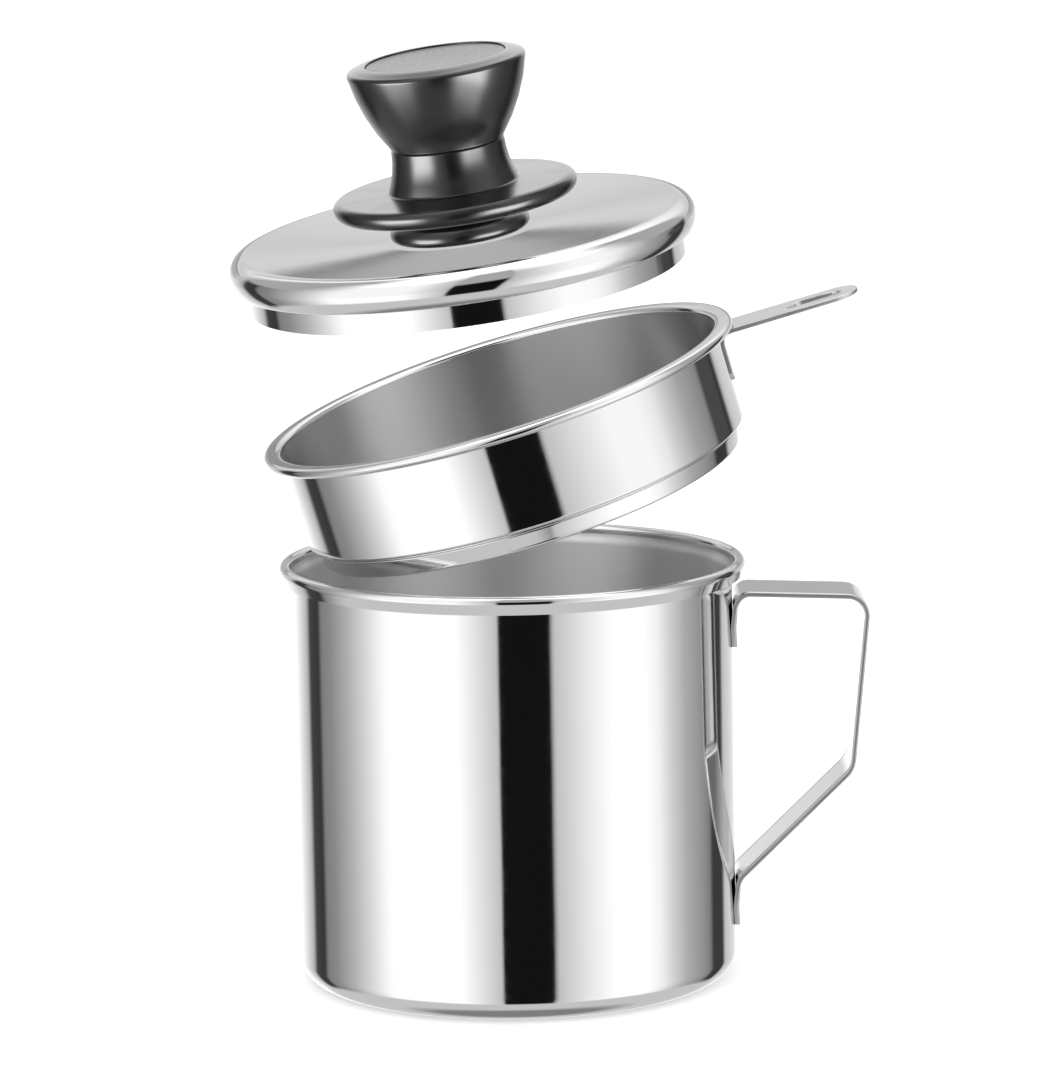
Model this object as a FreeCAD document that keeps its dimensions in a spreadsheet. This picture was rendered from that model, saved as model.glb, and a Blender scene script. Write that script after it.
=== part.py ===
"""Grease keeper: a steel mug, a strainer that plugs into its mouth, and a knob lid.

Frame: millimetres, +Z up, origin at the centre of the mug's base, +X towards the mug's handle.
Each piece is drawn about its own axis and placed afterwards. The strainer and the lid are
placed lifted and tilted off their seats; each one swings back onto its seat about one pivot.
"""

import FreeCAD, Part
import os
import Sketcher
from FreeCAD import Placement, Rotation, Vector

DRIVING = {
    # mug, heights from the table
    "rim_radius": 60.0,
    "mouth_radius": 57.0,
    "wall_radius": 56.6,
    "mug_height": 109.0,
    "mug_sheet": 0.5,
    "base_corner": 6.0,
    "mouth_depth": 2.4,
    "flare_depth": 5.2,
    "roll_drop": 4.6,
    # mug handle, heights from the table
    "strap_width": 20.0,
    "strap_thick": 1.3,
    "strap_reach": 91.36,
    "strap_top": 99.0,
    "knee_reach": 86.87,
    "knee_height": 54.05,
    "upper_tab_low": 86.0,
    "lower_tab_low": 13.0,
    "tab_corner": 3.0,
    # strainer, heights from the middle of its rim
    "sieve_rim": 62.5,
    "sieve_curl": 1.2,
    "sieve_wall": 58.2,
    "sieve_sheet": 0.4,
    "seat_drop": 24.9,
    "ring_radius": 56.0,
    "ring_top": 56.4,
    "ring_low": 55.75,
    "ring_drop": 30.2,
    "ring_thick": 0.6,
    "ring_lip": 52.4,
    "mesh_thick": 0.35,
    "bar_pitch": 8.8,
    "bar_width": 1.9,
    # strainer tab
    "arm_reach": 95.5,
    "arm_width": 13.5,
    "arm_thick": 1.1,
    "leg_drop": 14.5,
    "slot_near": 78.6,
    "slot_far": 91.0,
    "slot_width": 5.0,
    # lid, heights from its widest circle
    "lid_radius": 59.9,
    "lid_sheet": 0.5,
    "roll_radius": 4.3,
    "hem_drop": 4.3,
    "hem_end": 56.4,
    "skirt_radius": 56.0,
    "skirt_drop": 10.3,
    "pan_floor": 1.9,
    "floor_radius": 19.0,
    # knob
    "foot_radius": 17.9,
    "guard_radius": 31.2,
    "guard_low": 9.5,
    "neck_radius": 14.5,
    "neck_top": 25.4,
    "grip_radius": 22.75,
    "grip_top": 47.5,
    "cap_radius": 17.9,
    "screw_hole": 2.6,
    "shank_radius": 2.0,
    "insert_radius": 4.0,
    "washer_radius": 6.5,
    "head_radius": 4.2,
}
WELD_GAP = 0.05              # between pieces that are fixed to each other

# seated heights, and the pivot that swings each piece from its seat to its lifted place
SIEVE_SEAT = 134.2
SIEVE_PIVOT = Vector(-65.52, -16.39, 132.96)
SIEVE_HINGE = Vector(0.2426, -0.9701, 0.0)
SIEVE_TILT = 16.38
LID_SEAT = 5.8               # above the middle of the strainer's rim
LID_PIVOT = Vector(205.7, -40.9, 215.4)
LID_HINGE = Vector(0.1547, 0.9813, 0.1141)
LID_TILT = 8.79

COS_20, SIN_20 = 0.93969, 0.34202
LID_SLOPE = 0.05757          # rise of the lid's top per radius, tangent to its rounded edge
TANGENT_OUT, TANGENT_UP = 0.0575, 0.9983

doc = FreeCAD.newDocument("grease_keeper")
sizes = doc.addObject("Spreadsheet::Sheet", "Sizes")
for row, (alias, length) in enumerate(DRIVING.items(), start=1):
    sizes.set(f"A{row}", alias)
    sizes.set(f"B{row}", str(length))
    sizes.setAlias(f"B{row}", alias)
doc.recompute()


class Size:
    """A length that carries its value and the spreadsheet formula it comes from."""

    def __init__(self, value, formula):
        self.value = value
        self.formula = formula

    def __add__(self, other):
        other = as_size(other)
        return Size(self.value + other.value, f"({self.formula} + {other.formula})")

    def __sub__(self, other):
        other = as_size(other)
        return Size(self.value - other.value, f"({self.formula} - {other.formula})")

    def __neg__(self):
        return Size(-self.value, f"(0 - {self.formula})")

    def __mul__(self, factor):
        return Size(self.value * factor, f"({self.formula} * {factor})")


def as_size(length):
    """A plain number of millimetres as a Size; a Size stays as it is."""
    if isinstance(length, Size):
        return length
    return Size(float(length), f"({float(length)})")


def cell(alias):
    """The Size held by a named spreadsheet cell."""
    return Size(DRIVING[alias], f"Sizes.{alias}")


def bind(item, name, size):
    """Tie a feature's property to the spreadsheet."""
    item.setExpression(name, as_size(size).formula)


# ---------------------------------------------------------------- sketches and features

def new_body(label):
    body = doc.addObject("PartDesign::Body", label)
    body.Label = label
    return body


def new_sketch(body, name, role, offset=None):
    """A sketch on one of the body's own origin planes."""
    sketch = body.newObject("Sketcher::SketchObject", name)
    plane = next(item for item in body.Origin.OriginFeatures if item.Role == role)
    sketch.AttachmentSupport = [(plane, "")]
    sketch.MapMode = "FlatFace"
    if offset is not None:
        bind(sketch, "AttachmentOffset.Base.z", offset)
    return sketch


def arc_between(start, end, radius, turns_left):
    """Minor arc from start to end; its centre lies left of the chord when it turns left."""
    chord = end - start
    half = chord.Length / 2
    normal = Vector(-chord.y, chord.x, 0).normalize()
    height = max(radius * radius - half * half, 0.0) ** 0.5
    centre = (start + end) * 0.5 + normal * (height if turns_left else -height)
    angles = []
    for point in (start, end):
        spoke = point - centre
        angle = Vector(1, 0, 0).getAngle(spoke)
        angles.append(angle if spoke.y >= 0 else -angle)
    if not turns_left:
        angles.reverse()
    return Part.ArcOfCircle(Part.Circle(centre, Vector(0, 0, 1), radius), *angles)


def hold_at(sketch, kind, spot, size, axis):
    """Fix one coordinate of a sketch point, or put the point on the sketch's axis."""
    if abs(size.value) < 1e-9:
        sketch.addConstraint(Sketcher.Constraint("PointOnObject", *spot, axis))
        return
    held = sketch.addConstraint(Sketcher.Constraint(kind, -1, 1, *spot, size.value))
    bind(sketch, f"Constraints[{held}]", size)


def draw_outline(sketch, corners):
    """Closed outline. A corner is (x, y) or (x, y, bend): bend is the radius of the run that
    follows the corner, positive when the run turns left and negative when it turns right."""
    points = [(as_size(corner[0]), as_size(corner[1])) for corner in corners]
    starts, ends = [], []
    for index, corner in enumerate(corners):
        here, after = points[index], points[(index + 1) % len(corners)]
        here = Vector(here[0].value, here[1].value, 0)
        after = Vector(after[0].value, after[1].value, 0)
        if len(corner) == 2:
            run = sketch.addGeometry(Part.LineSegment(here, after), False)
            starts.append((run, 1))
            ends.append((run, 2))
            continue
        bend = as_size(corner[2])
        turns_left = bend.value > 0
        radius = bend if turns_left else -bend
        run = sketch.addGeometry(arc_between(here, after, radius.value, turns_left), False)
        starts.append((run, 1 if turns_left else 2))
        ends.append((run, 2 if turns_left else 1))
        held = sketch.addConstraint(Sketcher.Constraint("Radius", run, radius.value))
        bind(sketch, f"Constraints[{held}]", radius)
    for index, start in enumerate(starts):
        sketch.addConstraint(Sketcher.Constraint("Coincident", *ends[index - 1], *start))
    for (across, along), start in zip(points, starts):
        hold_at(sketch, "DistanceX", start, across, -2)
        hold_at(sketch, "DistanceY", start, along, -1)


def turn(body, kind, name, corners):
    """Turn a half section, x as radius and y as height, about the body's own axis."""
    section = new_sketch(body, f"{name}_section", "XZ_Plane")
    draw_outline(section, corners)
    turned = body.newObject(kind, name)
    turned.Profile = section
    turned.ReferenceAxis = (section, ["V_Axis"])
    turned.Angle = 360
    section.Visibility = False
    doc.recompute()


def lathe(label, corners):
    """A body turned from one half section."""
    body = new_body(label)
    turn(body, "PartDesign::Revolution", f"{label}_turned", corners)
    return body


def turn_away(body, name, corners):
    """Cut a turned ring out of a body, and check that the cut took metal away."""
    before = body.Shape.Volume
    turn(body, "PartDesign::Groove", name, corners)
    if not body.Shape.Volume < before - 0.01:
        raise RuntimeError(f"{name} cut nothing")


def pad(body, name, outlines, width):
    """Raise outlines drawn on the XZ plane to half the width on both sides."""
    side = new_sketch(body, f"{name}_side", "XZ_Plane")
    for outline in outlines:
        draw_outline(side, outline)
    raised = body.newObject("PartDesign::Pad", name)
    raised.Profile = side
    raised.Midplane = True
    bind(raised, "Length", width)
    side.Visibility = False
    doc.recompute()


def cut_through(body, name, outline, level, depth):
    """Cut an outline drawn on a level plane upwards into the body."""
    before = body.Shape.Volume
    plan = new_sketch(body, f"{name}_plan", "XY_Plane", level)
    draw_outline(plan, outline)
    pocket = body.newObject("PartDesign::Pocket", name)
    pocket.Profile = plan
    pocket.Reversed = True
    bind(pocket, "Length", depth)
    plan.Visibility = False
    doc.recompute()
    if not body.Shape.Volume < before - 0.01:
        raise RuntimeError(f"{name} cut nothing")


def raise_flat(body, name, outlines, level, thick):
    """Raise outlines drawn on a level plane upwards by a thickness."""
    plan = new_sketch(body, f"{name}_plan", "XY_Plane", level)
    for outline in outlines:
        draw_outline(plan, outline)
    raised = body.newObject("PartDesign::Pad", name)
    raised.Profile = plan
    bind(raised, "Length", thick)
    plan.Visibility = False
    doc.recompute()


def round_edges(body, name, spots, radius):
    """Round the straight edge whose middle lies nearest to each spot."""
    base = body.Tip
    straight = [
        (f"Edge{number}", edge.CenterOfMass)
        for number, edge in enumerate(base.Shape.Edges, start=1)
        if isinstance(edge.Curve, Part.Line)
    ]
    nearest = [min(straight, key=lambda item: item[1].distanceToPoint(spot))[0] for spot in spots]
    fillet = body.newObject("PartDesign::Fillet", name)
    fillet.Base = (base, nearest)
    bind(fillet, "Radius", radius)
    doc.recompute()


def strip_sides(path, thick):
    """Both sides of a bent strip: the path moved half a thickness each way along its mitres.

    The mitres keep their directions, so the strip's thickness and places stay driven."""
    points = [Vector(as_size(x).value, as_size(y).value, 0) for x, y in path]
    runs = [(after - here).normalize() for here, after in zip(points, points[1:])]
    left, right = [], []
    for index, (x, y) in enumerate(path):
        before = runs[max(index - 1, 0)]
        after = runs[min(index, len(runs) - 1)]
        mitre = Vector(-before.y - after.y, before.x + after.x, 0)
        mitre = mitre * (0.5 / mitre.dot(Vector(-before.y, before.x, 0)))
        shift_x, shift_y = thick * mitre.x, thick * mitre.y
        left.append((as_size(x) + shift_x, as_size(y) + shift_y))
        right.append((as_size(x) - shift_x, as_size(y) - shift_y))
    return left, right


def spot(corner, y=0.0):
    """The model point of a corner drawn on the XZ plane."""
    return Vector(as_size(corner[0]).value, y, as_size(corner[1]).value)


# ---------------------------------------------------------------- mug

def make_mug_body():
    """Drawn cup: floor, rounded corner, straight wall, flared mouth, rim rolled outwards."""
    height, wall, thick = cell("mug_height"), cell("wall_radius"), cell("mug_sheet")
    mouth, corner = cell("mouth_radius"), cell("base_corner")
    roll = (cell("rim_radius") - mouth) * 0.5
    inner_roll = roll - thick
    centre, level = mouth + roll, height - roll
    low, high = height - cell("flare_depth"), height - cell("mouth_depth")
    middle = (low + high) * 0.5
    swell = (mouth + thick - wall) * 0.5
    bend = 2.403                    # of both halves of the flare, tangent to wall and mouth
    tail = height - cell("roll_drop")
    tail_in = (tail - level + roll * SIN_20) * (SIN_20 / COS_20)
    return lathe("mug_body", [
        (0, 0),
        (wall - corner, 0, corner),
        (wall, corner),
        (wall, low, -bend),
        (wall + swell, middle, bend),
        (mouth + thick, high),
        (mouth + thick, level, -inner_roll),
        (centre, height - thick, -inner_roll),
        (centre + inner_roll * COS_20, level - inner_roll * SIN_20),
        (centre + inner_roll * COS_20 + tail_in, tail),
        (centre + roll * COS_20 + tail_in, tail),
        (centre + roll * COS_20, level - roll * SIN_20, roll),
        (centre, height, roll),
        (mouth, level),
        (mouth, high, -bend),
        (wall - thick + swell, middle, bend),
        (wall - thick, low),
        (wall - thick, corner, -(corner - thick)),
        (wall - corner, thick),
        (0, thick),
    ])


def make_mug_handle():
    """Bent strap. Its end tabs follow the mug's wall, to which they are welded."""
    wall, thick, width = cell("wall_radius"), cell("strap_thick"), cell("strap_width")
    upper, lower = cell("upper_tab_low"), cell("lower_tab_low")
    inside = wall + WELD_GAP
    outside = inside + thick
    middle = inside + thick * 0.5
    path = [
        (middle, upper),
        (middle, cell("strap_top") + 1.3),
        (cell("strap_reach"), cell("strap_top")),
        (cell("knee_reach"), cell("knee_height")),
        (middle, lower + 12.4),
        (middle, lower),
    ]
    left, right = strip_sides(path, thick)
    body = new_body("mug_handle")
    backing = [
        [(wall - 1.2, low), (middle, low), (middle, low + 10.6), (wall - 1.2, low + 10.6)]
        for low in (upper, lower)
    ]
    pad(body, "strap", [left + right[::-1]], width)
    round_edges(body, "corner_outside", [spot(left[2])], thick + 4.5)
    round_edges(body, "corner_inside", [spot(right[2])], 4.5)
    round_edges(body, "knee_outside", [spot(left[3])], thick + 6.0)
    round_edges(body, "knee_inside", [spot(right[3])], 6.0)
    round_edges(body, "wall_bends_outside", [spot(left[1]), spot(right[4])], thick + 3.0)
    round_edges(body, "wall_bends_inside", [spot(right[1]), spot(left[4])], 3.0)
    for name, outline in zip(("upper_backing", "lower_backing"), backing):
        pad(body, name, [outline], width)
    turn_away(body, "wall_side", [
        (wall - 4, lower - 1), (inside, lower - 1), (inside, upper + 14), (wall - 4, upper + 14),
    ])
    for name, low in (("upper_face", upper), ("lower_face", lower)):
        turn_away(body, name, [
            (outside, low - 1),
            (outside + 4, low - 1),
            (outside + 4, low + 8.6),
            (outside + 0.9, low + 8.6),
            (outside, low + 5.5),
        ])
    ends = [
        Vector(DRIVING["wall_radius"], side * DRIVING["strap_width"] / 2, DRIVING[low])
        for side in (-1, 1) for low in ("upper_tab_low", "lower_tab_low")
    ]
    round_edges(body, "tab_corners", ends, cell("tab_corner"))
    return body


# ---------------------------------------------------------------- strainer

def make_sieve_wall():
    """Rolled ring: curled rim, straight wall, seat step and the sleeve that holds the mesh."""
    wall, thick, curl = cell("sieve_wall"), cell("sieve_sheet"), cell("sieve_curl")
    bore = wall - thick
    curl_in = curl - thick
    crest = cell("sieve_rim") - curl
    seat = -cell("seat_drop")
    sleeve = cell("ring_radius") - cell("ring_thick") - WELD_GAP
    end = -cell("ring_drop") + cell("ring_thick") + cell("mesh_thick") + WELD_GAP
    return lathe("strainer_wall", [
        (wall, curl_in - 1.0, -1.0),
        (wall + 1.0, curl_in),
        (crest, curl_in, -curl_in),
        (crest + curl_in, 0, -curl_in),
        (crest, -curl_in),
        (wall + 1.2, -curl_in),
        (wall + 1.2, -curl),
        (crest, -curl, curl),
        (crest + curl, 0, curl),
        (crest, curl),
        (wall + 1.0, curl, thick + 1.0),
        (bore, curl_in - 1.0),
        (bore, seat + thick + 0.4, -0.4),
        (bore - 0.4, seat + thick),
        (sleeve + 0.6, seat + thick, thick + 0.6),
        (sleeve - thick, seat - 0.6),
        (sleeve - thick, end),
        (sleeve, end),
        (sleeve, seat - 0.6, -0.6),
        (sleeve + 0.6, seat),
        (bore - 0.4, seat, thick + 0.4),
        (wall, seat + thick + 0.4),
    ])


def make_sieve_mesh():
    """Mesh disc held between the sleeve's edge and the ring's lip: a solid edge round crossed
    bars, as open as the woven wire it stands for."""
    radius = cell("ring_radius") - cell("ring_thick") - 0.25
    low = -cell("ring_drop") + cell("ring_thick") + 0.025
    thick, pitch, half = cell("mesh_thick"), cell("bar_pitch"), cell("bar_width") * 0.5
    high, inner, reach = low + thick, radius - 3.0, radius + 2.0
    body = lathe("strainer_mesh", [
        (inner, low), (radius + 1, low), (radius + 1, high), (inner, high),
    ])
    bars = [
        [
            (-reach, pitch * step - half), (reach, pitch * step - half),
            (reach, pitch * step + half), (-reach, pitch * step + half),
        ]
        for step in range(-5, 6)
    ]
    raise_flat(body, "bars_along_x", bars, low, thick)
    crossed = [[(y, x) for x, y in reversed(bar)] for bar in bars]
    raise_flat(body, "bars_along_y", crossed, low, thick)
    turn_away(body, "edge_trim", [
        (radius, low - 1), (radius + 25, low - 1), (radius + 25, high + 1), (radius, high + 1),
    ])
    return body


def make_mesh_ring():
    """Pressed ring round the sleeve, tapered outside and turned in under the edge of the mesh."""
    inside, thick, drop = cell("ring_radius") - cell("ring_thick"), cell("ring_thick"), -cell("ring_drop")
    lip, upper, lower = cell("ring_lip"), cell("ring_top"), cell("ring_low")
    top = -cell("seat_drop") - 0.6
    return lathe("mesh_ring", [
        (lip + 0.3, drop),
        (lower - 0.8, drop, 0.8),
        (lower, drop + 0.8),
        (upper, top - 0.3, 0.3),
        (upper - 0.3, top),
        (inside, top),
        (inside, drop + thick + 0.2, -0.2),
        (inside - 0.2, drop + thick),
        (lip + 0.3, drop + thick, 0.3),
        (lip, drop + thick * 0.5, 0.3),
    ])


def make_sieve_handle():
    """Slotted tab: a leg on the strainer's wall, bent out under the rim, with a round end."""
    wall, thick, width = cell("sieve_wall"), cell("arm_thick"), cell("arm_width")
    leg, reach = -cell("leg_drop"), cell("arm_reach")
    inside = wall + WELD_GAP
    outside = inside + thick
    level = -cell("sieve_curl") - WELD_GAP - thick * 0.5
    path = [(inside + thick * 0.5, leg), (inside + thick * 0.5, level), (reach, level)]
    left, right = strip_sides(path, thick)
    body = new_body("strainer_handle")
    pad(body, "tab", [left + right[::-1]], width)
    round_edges(body, "bend_outside", [spot(left[1])], thick + 2.0)
    round_edges(body, "bend_inside", [spot(right[1])], 2.0)
    pad(body, "leg_backing", [[
        (wall - 0.6, leg), (inside + 0.5, leg), (inside + 0.5, -4.4), (wall - 0.6, -4.4),
    ]], width)
    turn_away(body, "leg_wall_side", [
        (wall - 3, leg - 1), (inside, leg - 1), (inside, -1), (wall - 3, -1),
    ])
    turn_away(body, "leg_face", [
        (outside, leg - 1), (outside + 2, leg - 1), (outside + 2, -4.6),
        (outside + 0.45, -4.6), (outside, -6.5),
    ])
    half = cell("slot_width") * 0.5
    near, far = cell("slot_near"), cell("slot_far")
    cut_through(body, "slot", [
        (near + half, -half), (far - half, -half, half), (far, 0, half), (far - half, half),
        (near + half, half, half), (near, 0, half),
    ], level - 2, 4)
    sides = [DRIVING["arm_width"] / 2 * side for side in (-1, 1)]
    tip = [Vector(DRIVING["arm_reach"], y, level.value) for y in sides]
    foot = [Vector(DRIVING["sieve_wall"], y, leg.value) for y in sides]
    round_edges(body, "tip", tip, width * 0.497)
    round_edges(body, "leg_corners", foot, 2.5)
    return body


# ---------------------------------------------------------------- lid

def make_lid_pan():
    """Pressed disc: flat middle, gentle rise, rounded edge and a hem turned inwards."""
    edge, thick, roll = cell("lid_radius"), cell("lid_sheet"), cell("roll_radius")
    floor, flat = cell("pan_floor"), cell("floor_radius")
    hole, hem = cell("screw_hole"), -cell("hem_drop")
    centre, level = edge - roll, -0.3
    inner = roll - thick
    curl = 6.8                      # of the hem below the widest circle, tangent to the roll
    return lathe("lid_pan", [
        (hole, floor - thick),
        (flat, floor - thick),
        (centre - inner * TANGENT_OUT, inner * TANGENT_UP + level, -inner),
        (edge - thick, level, thick - curl),
        (edge - 1.562, hem + thick),
        (cell("hem_end"), hem + thick),
        (cell("hem_end"), hem),
        (edge - 1.7, hem, 0.756),
        (edge - 1.063, hem + 0.35, curl),
        (edge, level, roll),
        (centre - roll * TANGENT_OUT, roll * TANGENT_UP + level),
        (flat, floor),
        (hole, floor),
    ])


def make_lid_skirt():
    """Centring ring, its flange spot-welded under the lid."""
    radius, thick, drop = cell("skirt_radius"), cell("lid_sheet"), -cell("skirt_drop")
    under = cell("pan_floor") - thick - WELD_GAP
    inner_end, bend = 48.0, 1.2
    rise_end = under + (as_size(inner_end) - cell("floor_radius")) * LID_SLOPE
    rise_bend = under + (radius - bend - cell("floor_radius")) * LID_SLOPE
    return lathe("lid_skirt", [
        (radius - thick, drop),
        (radius, drop),
        (radius, rise_bend - bend, bend + 0.01),
        (radius - bend, rise_bend),
        (inner_end, rise_end),
        (inner_end, rise_end - thick),
        (radius - bend, rise_bend - thick, thick - bend - 0.01),
        (radius - thick, rise_bend - bend),
    ])


def make_knob_foot():
    """Round spacer that carries the guard above the lid."""
    radius, hole = cell("foot_radius"), cell("screw_hole")
    low = cell("pan_floor") + WELD_GAP
    high = cell("guard_low") + 1.8
    return lathe("knob_foot", [
        (hole, low),
        (radius - 1.6, low, 1.6),
        (radius, low + 1.6, 3.0),
        (radius - 1.5, low + 4.2),
        (radius - 3.3, low + 5.5),
        (radius - 3.3, high),
        (hole, high),
    ])


def make_knob_guard():
    """Heat guard: a saucer that runs up into the knob's neck."""
    radius, neck, top = cell("guard_radius"), cell("neck_radius"), cell("neck_top")
    low, hole = cell("guard_low"), cell("screw_hole")
    brim = low + 4.7
    return lathe("knob_guard", [
        (hole, low + 1.8 + WELD_GAP),
        (radius - 6.0, low + 1.8 + WELD_GAP, 3.0),
        (radius - 3.4, low + 0.5, -1.2),
        (radius - 2.5, low, 2.5),
        (radius, low + 2.5),
        (radius, brim - 2.0, 2.0),
        (radius - 2.0, brim),
        (neck + 2.7, brim + 0.3, -0.8),
        (neck + 2.0, brim + 1.0, -25.0),
        (neck, top - 0.4, 0.4),
        (neck - 0.4, top),
        (hole, top),
    ])


def make_knob_grip():
    """Cup-shaped grip with a recess for the inlay and a blind hole for the insert."""
    radius, low, top = cell("grip_radius"), cell("neck_top") + WELD_GAP, cell("grip_top")
    hole, recess = cell("insert_radius") + WELD_GAP, cell("cap_radius")
    waist = cell("neck_radius")
    return lathe("knob_grip", [
        (hole, low),
        (waist - 0.4, low, 0.4),
        (waist, low + 0.4, 46.0),
        (radius, top - 2.2, 1.2),
        (radius - 1.05, top - 0.9, 12.0),
        (recess + 0.3, top, 0.3),
        (recess, top - 0.3),
        (recess, top - 2.5),
        (0, top - 2.5),
        (0, low + 11.1),
        (hole, low + 11.1),
    ])


def make_knob_cap():
    """Slightly dished inlay in the top of the grip."""
    radius, low = cell("cap_radius") - WELD_GAP, cell("grip_top") - 2.5 + WELD_GAP
    return lathe("knob_cap", [
        (0, low),
        (radius, low),
        (radius, low + 1.45, 0.3),
        (radius - 0.3, low + 1.75, -252.0),
        (0, low + 1.15),
    ])


def make_knob_insert():
    """Threaded brass bush moulded into the grip."""
    radius, shank = cell("insert_radius"), cell("shank_radius") + WELD_GAP
    low = cell("neck_top") + 2 * WELD_GAP
    return lathe("knob_insert", [
        (shank + 0.4, low), (radius, low), (radius, low + 3.6), (radius - 0.5, low + 4.1),
        (radius - 0.5, low + 6.7), (radius, low + 7.2), (radius, low + 10.9),
        (shank, low + 10.9), (shank, low + 0.4),
    ])


def make_knob_screw():
    """Pan-head screw from below, with a cross recess."""
    shank, head = cell("shank_radius"), cell("head_radius")
    seat = cell("pan_floor") - cell("lid_sheet") - 2 * WELD_GAP - 0.8
    low = seat - 2.8
    body = lathe("knob_screw", [
        (0, low), (head - 1.6, low, 1.6), (head, low + 1.6), (head, seat), (shank, seat),
        (shank, cell("neck_top") + 8.5), (shank - 0.6, cell("neck_top") + 9.1),
        (0, cell("neck_top") + 9.1),
    ])
    arm, half = 2.1, 0.5
    cut_through(body, "cross_recess", [
        (-arm, -half), (-half, -half), (-half, -arm), (half, -arm), (half, -half), (arm, -half),
        (arm, half), (half, half), (half, arm), (-half, arm), (-half, half), (-arm, half),
    ], low - 1, 2.4)
    return body


def make_screw_washer():
    """Washer between the screw's head and the lid."""
    hole, radius = cell("shank_radius") + 0.25, cell("washer_radius")
    high = cell("pan_floor") - cell("lid_sheet") - WELD_GAP
    return lathe("screw_washer", [
        (hole, high - 0.8), (radius, high - 0.8), (radius, high), (hole, high),
    ])


# ---------------------------------------------------------------- assembly

def swung(seated, pivot, hinge, degrees):
    """A seated place after a turn about a pivot."""
    return Placement(Vector(), Rotation(hinge, degrees), pivot).multiply(seated)


def check(body):
    """Stop if any feature of a body failed or its solid is not sound."""
    for item in [body] + list(body.Group):
        if "Invalid" in item.State or "Error" in item.State:
            raise RuntimeError(f"{item.Name} failed: {item.State}")
    shape = body.Shape
    if shape.isNull() or not shape.isValid() or len(shape.Solids) != 1:
        raise RuntimeError(f"{body.Label} is not one sound solid")


on_table = Placement()
lifted_sieve = swung(
    Placement(Vector(0, 0, SIEVE_SEAT), Rotation()), SIEVE_PIVOT, SIEVE_HINGE, SIEVE_TILT
)
lid_on_sieve = lifted_sieve.multiply(Placement(Vector(0, 0, LID_SEAT), Rotation()))
lifted_lid = swung(lid_on_sieve, LID_PIVOT, LID_HINGE, LID_TILT)

PLACES = [
    (on_table, [make_mug_body, make_mug_handle]),
    (lifted_sieve, [make_sieve_wall, make_sieve_mesh, make_mesh_ring, make_sieve_handle]),
    (lifted_lid, [
        make_lid_pan, make_lid_skirt, make_knob_foot, make_knob_guard, make_knob_grip,
        make_knob_cap, make_knob_insert, make_knob_screw, make_screw_washer,
    ]),
]

if __name__ == "__main__":
    os.makedirs("parts", exist_ok=True)
    for place, makers in PLACES:
        for make in makers:
            part = make()
            check(part)
            part.Placement = place
            doc.recompute()
            part.Shape.exportStep(f"parts/{part.Label}.step")
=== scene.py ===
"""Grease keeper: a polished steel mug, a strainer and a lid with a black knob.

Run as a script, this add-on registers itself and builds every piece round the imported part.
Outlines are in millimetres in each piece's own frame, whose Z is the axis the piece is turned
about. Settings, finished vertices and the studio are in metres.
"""

import math
from types import SimpleNamespace

import bpy
import numpy as np
from bpy.props import FloatProperty, FloatVectorProperty, IntProperty, PointerProperty
from mathutils import Matrix, Vector


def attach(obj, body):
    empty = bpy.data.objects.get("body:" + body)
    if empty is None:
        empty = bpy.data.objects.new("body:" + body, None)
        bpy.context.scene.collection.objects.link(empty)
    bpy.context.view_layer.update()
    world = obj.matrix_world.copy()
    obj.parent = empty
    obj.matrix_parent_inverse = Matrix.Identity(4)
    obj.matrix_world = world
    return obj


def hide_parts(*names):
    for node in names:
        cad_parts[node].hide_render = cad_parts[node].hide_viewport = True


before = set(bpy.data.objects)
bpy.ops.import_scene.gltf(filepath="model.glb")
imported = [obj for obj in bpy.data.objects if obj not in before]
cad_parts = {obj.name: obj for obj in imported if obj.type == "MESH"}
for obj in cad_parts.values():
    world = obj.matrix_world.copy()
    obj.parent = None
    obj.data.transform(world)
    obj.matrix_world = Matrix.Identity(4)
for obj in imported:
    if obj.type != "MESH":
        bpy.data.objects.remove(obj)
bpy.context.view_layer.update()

bl_info = {
    "name": "Grease keeper",
    "version": (1, 0, 0),
    "blender": (4, 5, 0),
    "location": "View3D > Sidebar > Grease keeper",
    "description": "Builds a steel grease keeper with its strainer, lid and studio",
    "category": "Add Mesh",
}

MM = 0.001
WELD_GAP = 0.05                         # between pieces that are fixed to each other


# ---------------------------------------------------------------- places

def swing(pivot, hinge, degrees):
    """The turn about a line through the pivot along the hinge."""
    out = Matrix.Translation(Vector(pivot) * MM)
    return out @ Matrix.Rotation(math.radians(degrees), 4, Vector(hinge)) @ out.inverted()


def raised(height):
    """A move straight up."""
    return Matrix.Translation((0, 0, height * MM))


ON_TABLE = Matrix.Identity(4)
# each piece is set on its seat and then swung off it
LIFTED_SIEVE = swing((-65.52, -16.39, 132.96), (0.2426, -0.9701, 0.0), 16.38) @ raised(134.2)
LIFTED_LID = (
    swing((205.7, -40.9, 215.4), (0.1547, 0.9813, 0.1141), 8.79) @ LIFTED_SIEVE @ raised(5.8)
)


# ---------------------------------------------------------------- settings

def shade(code):
    """Linear colour of an sRGB hex code."""
    parts = [int(code[i:i + 2], 16) / 255 for i in (0, 2, 4)]
    return [p / 12.92 if p <= 0.04045 else ((p + 0.055) / 1.055) ** 2.4 for p in parts] + [1.0]


def length(name, about, millimetres):
    """A setting that is a length: written here in millimetres, held in metres."""
    return FloatProperty(
        name=name, description=about, default=millimetres * MM, min=0.0, precision=5,
        subtype="DISTANCE", unit="LENGTH",
    )


def colour(name, about, code):
    """A setting that is a colour: written here as an sRGB hex code, held linear."""
    return FloatVectorProperty(
        name=name, description=about, default=shade(code), size=4, min=0.0, max=1.0, subtype="COLOR",
    )


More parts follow.
